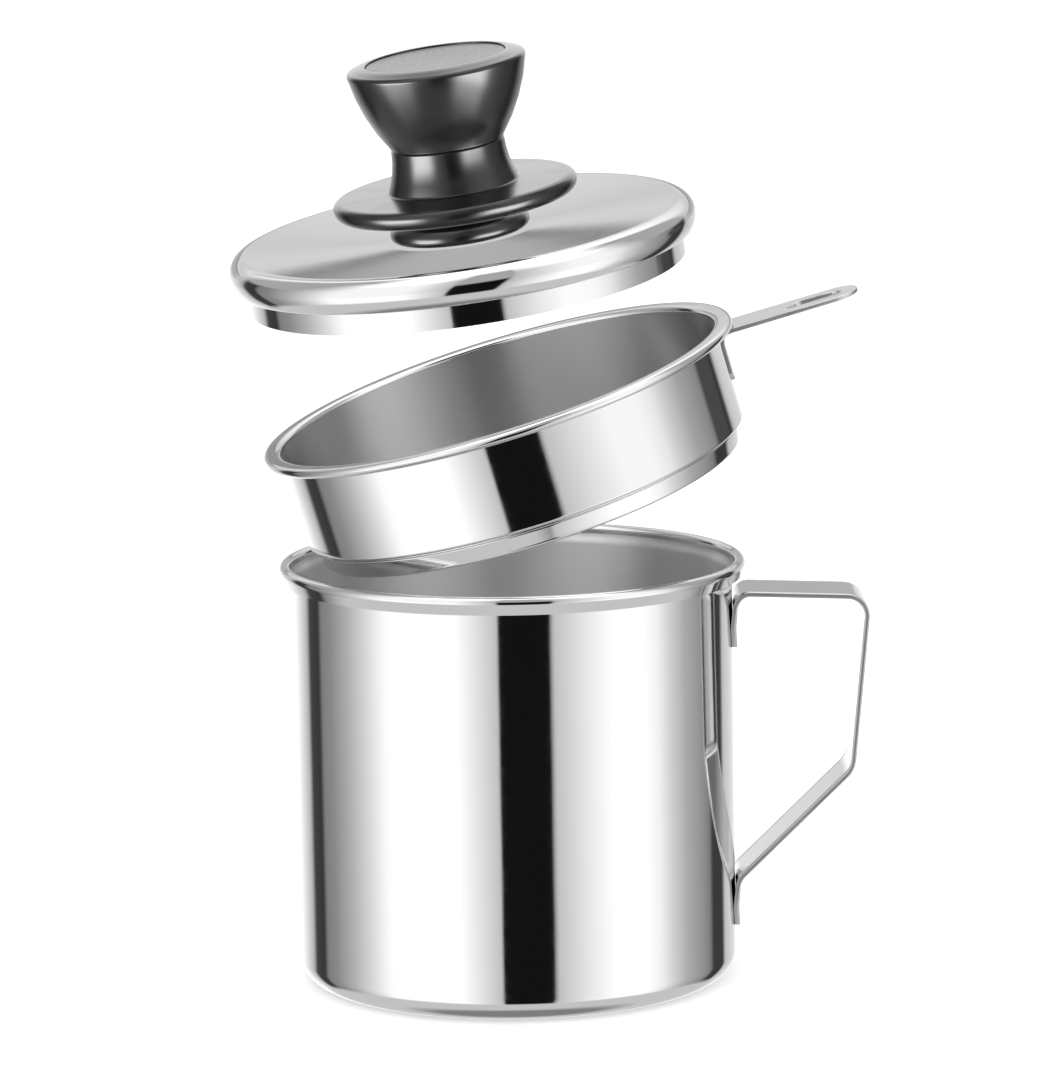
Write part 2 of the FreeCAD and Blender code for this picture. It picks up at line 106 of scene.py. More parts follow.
def sizes(group):
    """A group's lengths in millimetres, rid of the rounding of their single precision."""
    return SimpleNamespace(**{
        name: round(getattr(group, name) / MM, 4) for name in group.__annotations__
    })


class MugSettings(bpy.types.PropertyGroup):
    """Sizes of the mug and its handle"""

    rim_radius: length("Rim radius", "Axis to the outside of the rolled rim", 60.0)
    mouth_radius: length("Mouth radius", "Axis to the inside of the rolled rim", 57.0)
    wall_radius: length("Wall radius", "Axis to the outside of the wall", 56.6)
    height: length("Height", "Table to the top of the rim", 109.0)
    sheet: length("Sheet", "Thickness of the steel", 0.5)
    corner: length("Base corner", "Outer radius between base and wall", 6.0)
    strap_width: length("Strap width", "Width of the handle's strap", 20.0)
    strap_thick: length("Strap thickness", "Thickness of the handle's strap", 1.3)


class StrainerSettings(bpy.types.PropertyGroup):
    """Sizes of the strainer and its mesh"""

    rim_radius: length("Rim radius", "Axis to the outside of the curled rim", 62.5)
    wall_radius: length("Wall radius", "Axis to the outside of the wall", 58.2)
    sheet: length("Sheet", "Thickness of the steel", 0.4)
    seat_drop: length("Seat drop", "Middle of the rim down to the step that stands on the mug", 24.9)
    ring_radius: length("Mesh ring radius", "Axis to the outside of the ring round the mesh", 56.0)
    pitch: length("Wire pitch", "From one wire to the next, drawn coarser than real to show", 1.0)
    wire: length("Wire radius", "Radius of a wire, drawn coarser than real to show", 0.11)


class LidSettings(bpy.types.PropertyGroup):
    """Sizes of the lid and its knob"""

    radius: length("Lid radius", "Axis to the widest circle of the rounded edge", 59.9)
    sheet: length("Sheet", "Thickness of the steel", 0.5)
    skirt_radius: length("Skirt radius", "Axis to the outside of the centring skirt", 56.0)
    guard_radius: length("Guard radius", "Axis to the rim of the knob's heat guard", 31.2)
    grip_radius: length("Grip radius", "Axis to the widest circle of the knob's grip", 22.75)


class FinishSettings(bpy.types.PropertyGroup):
    """Colours of the steel and the knob; the insides' steel holds painted light and painted shade"""

    polished: colour("Polished steel", "Outsides of the mug, strainer and lid", "e6e6e6")
    # lighter than the polished steel: painted light on the shaded insides of the mug and the lid
    spun_painted_light: colour("Spun steel, painted light", "Insides of the mug and the lid", "f0f0f0")
    # darker than the polished steel: painted shade on the inside of the strainer
    rolled: colour("Rolled steel, painted shade", "Inside of the strainer", "c6c6c6")
    wire: colour("Wire", "Woven mesh of the strainer", "b4b4b6")
    knob: colour("Knob", "Foot, guard, neck and grip", "141415")
    inlay: colour("Inlay", "Disc in the top of the knob", "3a3a3c")


class StudioSettings(bpy.types.PropertyGroup):
    """Brightness of the studio and smoothness of the turned pieces"""

    cards: FloatProperty(
        name="Card brightness", description="How bright the studio's cards look in the steel",
        default=1.3, min=0.0,
    )
    turns: IntProperty(
        name="Steps round", description="Faces round a turned piece", default=192, min=24,
    )


# ---------------------------------------------------------------- surfaces

BEND_STEP = math.radians(7)             # the most that an outline turns from point to point
STRAIGHT_STEP = 6.0                     # about the most between points on a straight run
CRISP = 0.25                            # from a straight run's ends to its next points
SHORT = 1.0                             # a straight run up to this long has only its ends


def arc_points(start, end, bend):
    """Points after start up to end on the short arc of radius |bend|, left-turning if bend > 0.

    The centre stands off the chord's middle by the root of bend^2 - (chord / 2)^2."""
    start, end = np.array(start, float), np.array(end, float)
    chord = end - start
    span = np.hypot(*chord)
    left = np.array([-chord[1], chord[0]]) / span
    height = math.sqrt(max(bend * bend - span * span / 4, 0.0))
    centre = (start + end) / 2 + left * math.copysign(height, bend)
    first = math.atan2(*(start - centre)[::-1])
    sweep = math.copysign(2 * math.asin(min(span / 2 / abs(bend), 1.0)), bend)
    steps = max(2, math.ceil(abs(sweep) / BEND_STEP))
    angles = first + sweep * np.arange(1, steps + 1) / steps
    return centre + abs(bend) * np.stack([np.cos(angles), np.sin(angles)], 1)


def straight_points(start, end):
    """Points after start up to end, the share t of the way at start + t (end - start).

    They lie close to both ends so that bends stay crisp."""
    start, end = np.array(start, float), np.array(end, float)
    span = np.hypot(*(end - start))
    shares = [1.0]
    if span > SHORT:
        count = max(2, round(span / STRAIGHT_STEP) + 1)
        shares = [*np.linspace(CRISP / span, 1 - CRISP / span, count), 1.0]
    return start + (end - start) * np.array(shares)[:, None]


def trace(corners, closed=True):
    """Points along an outline, and for each run between points the corner it started from.

    A corner is (x, y) or (x, y, bend) with bend the radius of the run that follows it."""
    points, runs = [np.array([corners[0][:2]], float)], []
    last = len(corners) if closed else len(corners) - 1
    for index in range(last):
        here, after = corners[index], corners[(index + 1) % len(corners)]
        if len(here) == 3:
            run = arc_points(here[:2], after[:2], here[2])
        else:
            run = straight_points(here[:2], after[:2])
        points.append(run)
        runs += [index] * len(run)
    points = np.concatenate(points)
    return (points[:-1] if closed else points), np.array(runs)


def bent_path(corners):
    """Points along a path of straight runs joined by arcs, its unit normals to the left and the
    way gone at each point.

    A corner is (x, z) or (x, z, radius); its arc starts radius * tan(turn / 2) before it."""
    spots = [np.array(corner[:2], float) for corner in corners]
    points = [spots[0]]
    for index in range(1, len(spots) - 1):
        before = spots[index] - spots[index - 1]
        after = spots[index + 1] - spots[index]
        before, after = before / np.hypot(*before), after / np.hypot(*after)
        turn = math.atan2(before[0] * after[1] - before[1] * after[0], before @ after)
        reach = corners[index][2] * math.tan(abs(turn) / 2)
        start, end = spots[index] - before * reach, spots[index] + after * reach
        points += list(straight_points(points[-1], start))
        points += list(arc_points(start, end, math.copysign(corners[index][2], turn)))
    points += list(straight_points(points[-1], spots[-1]))
    points = np.array(points)
    tangent = np.gradient(points, axis=0)
    tangent = tangent / np.linalg.norm(tangent, axis=1)[:, None]
    steps = np.linalg.norm(np.diff(points, axis=0), axis=1)
    return points, np.stack([-tangent[:, 1], tangent[:, 0]], 1), np.append(0, np.cumsum(steps))


def grid_faces(rows, cols, loop=False):
    """Faces over a grid of points whose last column meets its first, and with loop its last row too.

    Face (row, col) runs (row, col), (row, col + 1), (row + 1, col + 1), (row + 1, col)."""
    low = np.arange(rows if loop else rows - 1)[:, None] * cols
    high = (low + cols) % (rows * cols)
    col = np.arange(cols)
    after = (col + 1) % cols
    return np.stack([low + col, low + after, high + after, high + col], -1).reshape(-1, 4)


def fan_faces(tip, start, count, back=False):
    """Triangles from the tip to each side of the ring of count points from start on; back turns
    them over."""
    here = np.arange(count)
    after = (here + 1) % count
    pair = (after, here) if back else (here, after)
    return np.stack([np.full(count, tip), start + pair[0], start + pair[1]], 1)


def finish_mesh(name, place, points, faces, materials, choice=None, body=None, nodes=(), crisp=32):
    """Makes the object: local millimetres become metres in the part's frame, and the local
    position is kept on every vertex as the attribute "own" for the materials."""
    mesh = bpy.data.meshes.new(name)
    world = np.array(place)
    placed = points * MM @ world[:3, :3].T + world[:3, 3]
    mesh.from_pydata(placed.tolist(), [], faces)
    own = mesh.attributes.new("own", "FLOAT_VECTOR", "POINT")
    own.data.foreach_set("vector", points.astype(np.float32).ravel())
    for material in materials:
        mesh.materials.append(material)
    if choice is not None:
        mesh.polygons.foreach_set("material_index", np.array(choice, np.int32))
    mesh.polygons.foreach_set("use_smooth", np.ones(len(faces), bool))
    mesh.set_sharp_from_angle(angle=math.radians(crisp))
    mesh.validate()
    mesh.update()
    piece = bpy.data.objects.new(name, mesh)
    bpy.context.scene.collection.objects.link(piece)
    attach(piece, body)
    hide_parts(*nodes)
    return piece


def turned(name, corners, place, materials, body, nodes, inner, turns):
    """Surface of revolution: outline point (r, z) at angle a lies at (r cos a, r sin a, z).

    An outline that starts and ends on the axis closes there with one point at each end; any
    other outline closes on itself. Runs from the corners listed in inner take material two."""
    closed = corners[0][0] > 0
    outline, runs = trace(corners, closed)
    rings, used = (outline, runs) if closed else (outline[1:-1], runs[1:-1])
    angles = np.arange(turns) * 2 * np.pi / turns
    radius, height = rings[:, :1], np.repeat(rings[:, 1:], turns, 1)
    points = np.stack([radius * np.cos(angles), radius * np.sin(angles), height], -1)
    points = points.reshape(-1, 3)
    faces = grid_faces(len(rings), turns, closed).tolist()
    if not closed:
        first, final = len(points), len(points) + 1
        points = np.concatenate([points, [[0, 0, outline[0, 1]], [0, 0, outline[-1, 1]]]])
        faces += fan_faces(first, 0, turns, back=True).tolist()
        faces += fan_faces(final, first - turns, turns).tolist()
        used = [*used, runs[0], runs[-1]]
    choice = np.repeat(np.isin(used, list(inner)), turns)
    return finish_mesh(name, place, points, faces, materials, choice, body, nodes)


def strap_section(width, thick):
    """Closed section of a strap: the flats' half width and, as arrays, each point's share of it,
    what the rounded edge adds to that and the height off the middle.

    Its corners are quarter circles. The last array says which faces belong to the edges."""
    flat_steps, bend_steps, edge_share = 12, 4, 0.3
    edge = thick * edge_share
    half, deep = width / 2 - edge, thick / 2 - edge
    flat = np.linspace(-1, 1, flat_steps + 1)
    curve = np.radians(np.linspace(0, 90, bend_steps + 1))
    out, up = edge * np.sin(curve), edge * np.cos(curve)
    level, side = np.zeros(flat_steps), np.ones(bend_steps)
    share = np.concatenate([flat, side, side, [1], flat[::-1][1:], -side, -side])
    added = np.concatenate([[0], level, out[1:], up, level, -out[1:], -up[:-1]])
    off = np.concatenate([
        level + deep + edge, [deep + edge], deep + up[1:], -deep - out, level - deep - edge,
        -deep - up[1:], deep + out[:-1],
    ])
    under = flat_steps + 2 * bend_steps + 1
    col = np.arange(len(share))
    edges = ((col >= flat_steps) & (col <= under)) | (col >= under + flat_steps)
    return half, share, added, off, edges


def strap(name, corners, width, thick, place, materials, body, nodes, hug, end_round):
    """Bent strap: a rounded section carried along a path in the XZ plane.

    Point (s, q) is the path at s plus the section point q, its thickness along the path's
    normal and its width along Y. Near both ends the strap hugs a cylinder of radius hug, with
    a hold that fades as 3 t^2 - 2 t^3, and its corners are rounded off by end_round."""
    held, easing = 12.5, 5.0            # where it lets go of the cylinder, and over what length
    path, normal, way = bent_path(corners)
    half, share, added, off, edges = strap_section(width, thick)
    near = np.minimum(way, way[-1] - way)
    corner = np.clip(end_round - near, 0, end_round)
    shrink = end_round - np.sqrt(np.maximum(end_round ** 2 - corner ** 2, 0))
    across = share * (half - shrink[:, None]) + added
    x = path[:, :1] + normal[:, :1] * off
    z = path[:, 1:] + normal[:, 1:] * off
    hold = np.clip((held - near) / easing, 0, 1)[:, None]
    hold = hold * hold * (3 - 2 * hold)
    x -= hold * (hug - np.sqrt(hug ** 2 - across ** 2))
    points = np.stack([x, across, z], -1).reshape(-1, 3)
    rows, ring = len(path), len(off)
    ends = [points[:ring].mean(0), points[-ring:].mean(0)]
    first, final = len(points), len(points) + 1
    faces = grid_faces(rows, ring)[:, [0, 3, 2, 1]].tolist()
    faces += fan_faces(first, 0, ring).tolist()
    faces += fan_faces(final, first - ring, ring, back=True).tolist()
    choice = np.concatenate([np.tile(edges, rows - 1), np.ones(2 * ring, bool)])
    points = np.concatenate([points, ends])
    return finish_mesh(name, place, points, faces, materials, choice, body, nodes)


# ---------------------------------------------------------------- materials

def new_material(name):
    """A new material and its tree, which starts with one plain shader."""
    material = bpy.data.materials.new(name)
    material.use_nodes = True
    return material, material.node_tree


def add_node(tree, kind, inputs=None, **settings):
    """One shader node: settings are its properties, inputs are values or sockets to link."""
    item = tree.nodes.new(f"ShaderNode{kind}")
    for key, value in settings.items():
        setattr(item, key, value)
    for key, value in (inputs or {}).items():
        if isinstance(value, bpy.types.NodeSocket):
            tree.links.new(value, item.inputs[key])
        else:
            item.inputs[key].default_value = value
    return item


def tinted(name, tint, metallic):
    """A material with its colour and metallic set, with its tree and its shader."""
    material, tree = new_material(name)
    shader = tree.nodes["Principled BSDF"]
    shader.inputs["Base Color"].default_value = tint
    shader.inputs["Metallic"].default_value = metallic
    return material, tree, shader


def own_place(tree):
    """The place on the piece in its own millimetres, which finish_mesh keeps."""
    return add_node(tree, "Attribute", attribute_name="own").outputs["Vector"]


def dull_in_places(tree, shader, spot, scale, detail, low, high):
    """Roughness that wanders from low to high in soft patches 1 / scale across.

    The noise lies mostly between 0.3 and 0.7, so that range is spread from low to high."""
    patches = add_node(tree, "TexNoise", {"Vector": spot, "Scale": scale, "Detail": detail})
    rough = add_node(tree, "MapRange", {
        "Value": patches.outputs["Fac"], "From Min": 0.3, "From Max": 0.7, "To Min": low, "To Max": high,
    })
    tree.links.new(rough.outputs["Result"], shader.inputs["Roughness"])


def polished_steel(tint):
    """Buffed stainless sheet: mirror surface, faint waviness of the pressed sheet."""
    waves = 0.035                       # per mm: one wave of the sheet in 29 mm
    dulled = 0.4                        # per mm: patches of 2.5 mm
    material, tree, shader = tinted("stainless steel, mirror polished", tint, 1.0)
    own = own_place(tree)
    wave = add_node(tree, "TexNoise", {"Vector": own, "Scale": waves, "Detail": 1.0})
    # the sheet's slow waviness bends the reflections a little
    bump = add_node(tree, "Bump", {"Height": wave.outputs["Fac"], "Strength": 1.0, "Distance": 0.04 * MM})
    tree.links.new(bump.outputs["Normal"], shader.inputs["Normal"])
    # hazy patches where hands and cloth have dulled the polish
    dull_in_places(tree, shader, own, dulled, 4.0, 0.045, 0.07)
    return material


def satin_steel(name, tint, low, high, axis=None):
    """Satin steel; a turned piece's marks run round its axis and draw reflections out along it."""
    streaks = 0.12                      # per mm: streaks 8 mm wide and, stretched, 25 times as long
    stretch = (1.0, 1.0, 0.04)
    material, tree, shader = tinted(name, tint, 1.0)
    drawn = add_node(tree, "VectorMath", {0: own_place(tree), 1: stretch}, operation="MULTIPLY")
    # soft streaks, duller and brighter by turns, where the draw has stretched the sheet
    dull_in_places(tree, shader, drawn.outputs[0], streaks, 3.0, low, high)
    if axis is not None:
        along = add_node(
            tree, "VectorTransform", {"Vector": axis}, vector_type="VECTOR", convert_from="OBJECT",
            convert_to="WORLD",
        )
        # the round marks stretch every reflection up and down the wall
        shader.inputs["Anisotropic"].default_value = 1.0
        tree.links.new(along.outputs["Vector"], shader.inputs["Tangent"])
    return material


def bakelite(tint):
    """Moulded black thermoset, buffed and waxed after moulding."""
    patches = 0.12                      # per mm: patches of 8 mm
    material, tree, shader = tinted("bakelite, black, waxed moulding", tint, 0.0)
    shader.inputs["IOR"].default_value = 1.55
    # the buffed skin is a little duller in places
    dull_in_places(tree, shader, own_place(tree), patches, 2.0, 0.21, 0.25)
    return material


def plain(name, tint, metallic, rough):
    """A small piece's finish, with the faint unevenness of a turned or pressed face."""
    patches = 900.0                     # per metre: patches of 1.1 mm
    spread = 0.04
    material, tree, shader = tinted(name, tint, metallic)
    # duller and brighter specks keep the small faces from looking flat
    spot = add_node(tree, "TexCoord").outputs["Object"]
    dull_in_places(tree, shader, spot, patches, 3.0, rough - spread, rough + spread)
    return material


MATERIALS = {}


def finish_of(key):
    """Each material is made once, when a piece first asks for it."""
    tints = bpy.context.scene.grease_finishes
    upright, tilted = (0.0, 0.0, 1.0), LIFTED_SIEVE.col[2][:3]
    makers = {
        "mirror": lambda: polished_steel(tints.polished),
        # the insides' lighter tint is painted light on the mug and the lid
        "satin": lambda: satin_steel("stainless steel, spun satin", tints.spun_painted_light, 0.38, 0.44, upright),
        # the strainer inside's darker tint is painted shade
        "drawn": lambda: satin_steel("stainless steel, rolled satin, painted shade", tints.rolled, 0.3, 0.38, tilted),
        "edge": lambda: satin_steel("stainless steel, tumbled edge", shade("d6d6d6"), 0.36, 0.42),
        "bakelite": lambda: bakelite(tints.knob),
        "woven": lambda: plain("stainless wire, drawn", tints.wire, 1.0, 0.3),
        "inlay": lambda: plain("inlay, dark satin", tints.inlay, 0.0, 0.34),
        "brass": lambda: plain("brass, turned", shade("c9a25a"), 1.0, 0.3),
        "screw": lambda: plain("steel, zinc bright", shade("b9babd"), 1.0, 0.28),
    }
    if key not in MATERIALS:
        MATERIALS[key] = makers[key]()
    return MATERIALS[key]


# ---------------------------------------------------------------- pieces

class GREASE_OT_mug(bpy.types.Operator):
    """Build the drawn mug and its strap handle"""

    bl_idname = "grease.mug"
    bl_label = "Mug"

    def execute(self, context):
        s = sizes(context.scene.grease_mug)
        turns = context.scene.grease_studio.turns
        outside, inside = self.outlines(s)
        cup = turned(
            "mug_cup", outside + inside, ON_TABLE, [finish_of("mirror"), finish_of("satin")], "mug",
            ["mug_body"], range(len(outside), len(outside + inside)), turns,
        )
        handle = strap(
            "mug_strap", self.path(s), s.strap_width, s.strap_thick, ON_TABLE,
            [finish_of("mirror"), finish_of("edge")], "mug", ["mug_handle"], s.wall_radius, 3.0,
        )
        return {"FINISHED"}

    def outlines(self, s):
        """The cup's outside with its rolled rim, and its inside, both as (radius, height).

        The wall flares over an S of two equal bends into the mouth. The rim rolls outward and
        down, and its tail leans in by 20 degrees."""
        mouth_depth, flare_depth, tail_depth, flare_bend = 2.4, 5.2, 4.6, 2.403
        cos, sin = math.cos(math.radians(20)), math.sin(math.radians(20))
        height, wall, thick, mouth = s.height, s.wall_radius, s.sheet, s.mouth_radius
        roll = (s.rim_radius - mouth) / 2
        bore = roll - thick
        centre, level = mouth + roll, height - roll
        low, high, tail = height - flare_depth, height - mouth_depth, height - tail_depth
        swell = (mouth + thick - wall) / 2
        tail_in = (tail - level + roll * sin) * sin / cos
        outside = [
            (0, 0),
            (wall - s.corner, 0, s.corner),
            (wall, s.corner),
            (wall, low, -flare_bend),
            (wall + swell, (low + high) / 2, flare_bend),
            (mouth + thick, high),
            (mouth + thick, level, -bore),
            (centre, height - thick, -bore),
            (centre + bore * cos, level - bore * sin),
            (centre + bore * cos + tail_in, tail),
            (centre + roll * cos + tail_in, tail),
            (centre + roll * cos, level - roll * sin, roll),
            (centre, height, roll),
            (mouth, level),
        ]
        inside = [
            (mouth, high, -flare_bend),
            (wall - thick + swell, (low + high) / 2, flare_bend),
            (wall - thick, low),
            (wall - thick, s.corner, -(s.corner - thick)),
            (wall - s.corner, thick),
            (0, thick),
        ]
        return outside, inside

    def path(self, s):
        """The strap's middle line from its upper tab, out over the fingers and back to the wall."""
        upper_tab_low, lower_tab_low = 86.0, 13.0
        top, tab_top, knee_height, foot_height = 99.0, 100.3, 54.05, 25.4
        reach, knee_reach = 91.36, 86.87
        tab_bend, top_bend, knee_bend = 3.65, 5.15, 6.65
        tab = s.wall_radius + WELD_GAP + s.strap_thick / 2
        return [
            (tab, upper_tab_low),
            (tab, tab_top, tab_bend),
            (reach, top, top_bend),
            (knee_reach, knee_height, knee_bend),
            (tab, foot_height, tab_bend),
            (tab, lower_tab_low),
        ]


class GREASE_OT_strainer(bpy.types.Operator):
    """Build the strainer's wall, ring, woven mesh and slotted tab"""

    bl_idname = "grease.strainer"
    bl_label = "Strainer"

    def execute(self, context):
        s = sizes(context.scene.grease_strainer)
        turns = context.scene.grease_studio.turns
        metal = [finish_of("mirror"), finish_of("drawn")]
        rim, inside, below = self.wall_outlines(s)
        shell = turned(
            "strainer_shell", rim + inside + below, LIFTED_SIEVE, metal, "strainer",
            ["strainer_wall"], range(len(rim), len(rim + inside)), turns,
        )
        clamp = turned(
            "strainer_ring", self.ring_outline(s), LIFTED_SIEVE, metal, "strainer", ["mesh_ring"],
            (), turns,
        )
        tab = self.tab(s.wall_radius)
        weave = self.weave(s)
        # the open wires, their ring and the tab would shade the mug's satin inside and the lid's edge
        for piece in (clamp, weave, tab):
            piece.visible_glossy = False
        return {"FINISHED"}

    def wall_outlines(self, s):
        """The curled rim, the inside and the part below, as (radius, height from the rim's middle).

        The rim curls outward and under. Below the wall a step stands on the mug's rim, and from
        it a sleeve goes down into the mug's mouth."""
        curl, rim_bend, step_bend, sleeve_bend = 1.2, 1.0, 0.4, 0.6
        ring_play, sleeve_low = 0.65, -29.2
        wall, thick = s.wall_radius, s.sheet
        bore, curl_in = wall - thick, curl - thick
        crest, seat, sleeve = s.rim_radius - curl, -s.seat_drop, s.ring_radius - ring_play
        rim = [
            (wall, curl_in - rim_bend, -rim_bend),
            (wall + rim_bend, curl_in),
            (crest, curl_in, -curl_in),
            (crest + curl_in, 0, -curl_in),
            (crest, -curl_in),
            (wall + curl, -curl_in),
            (wall + curl, -curl),
            (crest, -curl, curl),
            (crest + curl, 0, curl),
            (crest, curl),
            (wall + rim_bend, curl, thick + rim_bend),
        ]
        inside = [
            (bore, curl_in - rim_bend),
            (bore, seat + thick + step_bend, -step_bend),
            (bore - step_bend, seat + thick),
            (sleeve + sleeve_bend, seat + thick, thick + sleeve_bend),
            (sleeve - thick, seat - sleeve_bend),
        ]
        below = [
            (sleeve - thick, sleeve_low),
            (sleeve, sleeve_low),
            (sleeve, seat - sleeve_bend, -sleeve_bend),
            (sleeve + sleeve_bend, seat),
            (bore - step_bend, seat, thick + step_bend),
            (wall, seat + thick + step_bend),
        ]
        return rim, inside, below

    def ring_outline(self, s):
        """The pressed ring that clamps the mesh: a lip under the sleeve and a wall outside it."""
        drop, thick, lip, bend, hollow_bend = -30.2, 0.6, 52.4, 0.8, 0.2
        taper, flare, tip, top_play = 0.25, 0.4, 0.3, 0.6
        ring, low = s.ring_radius, s.ring_radius - taper
        top = -s.seat_drop - top_play
        return [
            (lip + thick / 2, drop),
            (low - bend, drop, bend),
            (low, drop + bend),
            (ring + flare, top - tip, tip),
            (ring + flare - tip, top),
            (ring - thick, top),
            (ring - thick, drop + thick + hollow_bend, -hollow_bend),
            (ring - thick - hollow_bend, drop + thick),
            (lip + thick / 2, drop + thick, thick / 2),
            (lip, drop + thick / 2, thick / 2),
        ]

    def tab(self, wall):
        """Slotted tab. On the flat strip, the point (v, u) lies on the way from the slot's
        outline at u to the strip's outline at u, and v also runs over the rounded edges and both
        faces. The strip is then bent over the path from the leg to the arm, and the leg hugs the
        wall."""
        thick, width, leg_low, arm, reach, bend = 1.1, 13.5, -14.5, -1.8, 95.5, 2.55
        slot_width, slot_bend, slot_near, slot_far = 5.0, 2.44, 16.9, 4.5
        arm_bend, leg_bend, edge_share = 6.7, 2.5, 0.32
        held, easing = 14.0, 5.0        # where the leg lets go of the wall, and over what length
        leg = wall + WELD_GAP + thick / 2
        path, normal, way = bent_path([(leg, leg_low), (leg, arm, bend), (reach, arm)])
        total = way[-1]
        slot = self.rounded(total - slot_near, total - slot_far, slot_width / 2, slot_bend, slot_bend)
        outer = self.rounded(0.0, total, width / 2, arm_bend, leg_bend)
        gap = np.linalg.norm(outer - slot, axis=1)[:, None]
        edge = thick * edge_share
        deep = thick / 2 - edge
        # down the slot's edge, out over the lower face, up the outer edge and back over the upper
        # face, with close steps on a face's outer half, where the strip bends
        curve = np.radians(np.linspace(0, 180, 9))
        side = np.where(curve < math.pi / 2, deep, -deep)
        shares = np.concatenate([np.linspace(0, 0.5, 8)[1:], np.linspace(0.5, 1, 42)[1:-1]])
        round_edge, face = np.ones(len(curve)), np.ones(len(shares))
        share = np.concatenate([0 * round_edge, shares, round_edge, shares[::-1]])
        shift = np.concatenate([
            edge - np.sin(curve) * edge, edge * face, edge + np.sin(curve) * edge, edge * face,
        ])
        rise = np.concatenate([
            side + np.cos(curve) * edge, -thick / 2 * face, -side - np.cos(curve) * edge,
            thick / 2 * face,
        ])
        sheared = np.concatenate([round_edge, 0 * face, round_edge, 0 * face])
        reached = (shift + share * (gap - 2 * edge)).T[:, :, None]
        flat = slot + (outer - slot) / gap * reached
        along, across = flat[..., 0], flat[..., 1]
        x, z = (
            np.interp(along, way, path[:, k]) + np.interp(along, way, normal[:, k]) * rise[:, None]
            for k in (0, 1)
        )
        hold = np.clip((held - along) / easing, 0, 1)
        x = x - hold * (wall - np.sqrt(wall ** 2 - across ** 2))
        points = np.stack([x, across, z], -1).reshape(-1, 3)
        faces = grid_faces(len(rise), len(slot), loop=True).tolist()
        choice = np.repeat(sheared * np.roll(sheared, -1), len(slot))
        return finish_mesh(
            "strainer_tab", LIFTED_SIEVE, points, faces, [finish_of("mirror"), finish_of("edge")],
            choice, "strainer", ["strainer_handle"],
        )

    def rounded(self, low, high, half, high_radius, low_radius):
        """A rounded rectangle from low to high along x and half to each side.

        A corner's point is its centre plus the radius times (cos a, sin a) at even angles, and
        both long sides go in even steps."""
        corner_steps, side_steps = 20, 41
        angles = np.radians(np.linspace(0, 90, corner_steps))
        out = np.stack([np.cos(angles), np.sin(angles)], 1)
        back = np.stack([-np.sin(angles), np.cos(angles)], 1)
        far = np.array([high - high_radius, half - high_radius]) + high_radius * out
        near = np.array([low + low_radius, half - low_radius]) + low_radius * back
        shares = np.linspace(0, 1, side_steps + 1)[1:-1, None]
        upper = np.concatenate([far, far[-1] + (near[0] - far[-1]) * shares, near])
        return np.concatenate([upper, upper[::-1] * (1, -1)])

    def weave(self, s):
        """Plain weave: wire k of a set follows a zigzag whose half wave is one pitch, over one
        crossing wire and under the next, and carries a square section with corner q at the angle
        (q + 1/2) of a quarter turn. The second set is the first with x and y changed over."""
        margin, level, sides = 1.0, -29.4, 4
        radius = s.ring_radius - margin
        corner = 2 * math.pi * (np.arange(sides) + 0.5) / sides
        last = math.ceil(radius / s.pitch) - 1
        points, faces, start = [], [], 0
        for second in (False, True):
            for k in range(-last, last + 1):
                reach = math.sqrt(radius ** 2 - (k * s.pitch) ** 2)
                count = math.floor(reach / s.pitch) + 1
                x = np.unique(np.clip(np.arange(-count, count + 1) * s.pitch, -reach, reach))
                phase = (np.rint(x / s.pitch) + k + second) % 2
                y = k * s.pitch + np.cos(corner) * s.wire
                z = (level + s.wire * (1 - 2 * phase))[:, None] + np.sin(corner) * s.wire
                wire = np.stack(np.broadcast_arrays(x[:, None], y, z), -1)
                first = start + np.arange(sides)
                end = first + (len(x) - 1) * sides
                skin = np.concatenate([start + grid_faces(len(x), sides), [first[::-1], end]])
                points.append((wire[..., [1, 0, 2]] if second else wire).reshape(-1, 3))
                faces.append(skin[:, ::-1] if second else skin)
                start += len(x) * sides
        return finish_mesh(
            "strainer_weave", LIFTED_SIEVE, np.concatenate(points), np.concatenate(faces).tolist(),
            [finish_of("woven")], None, "strainer", ["strainer_mesh"], 60,
        )


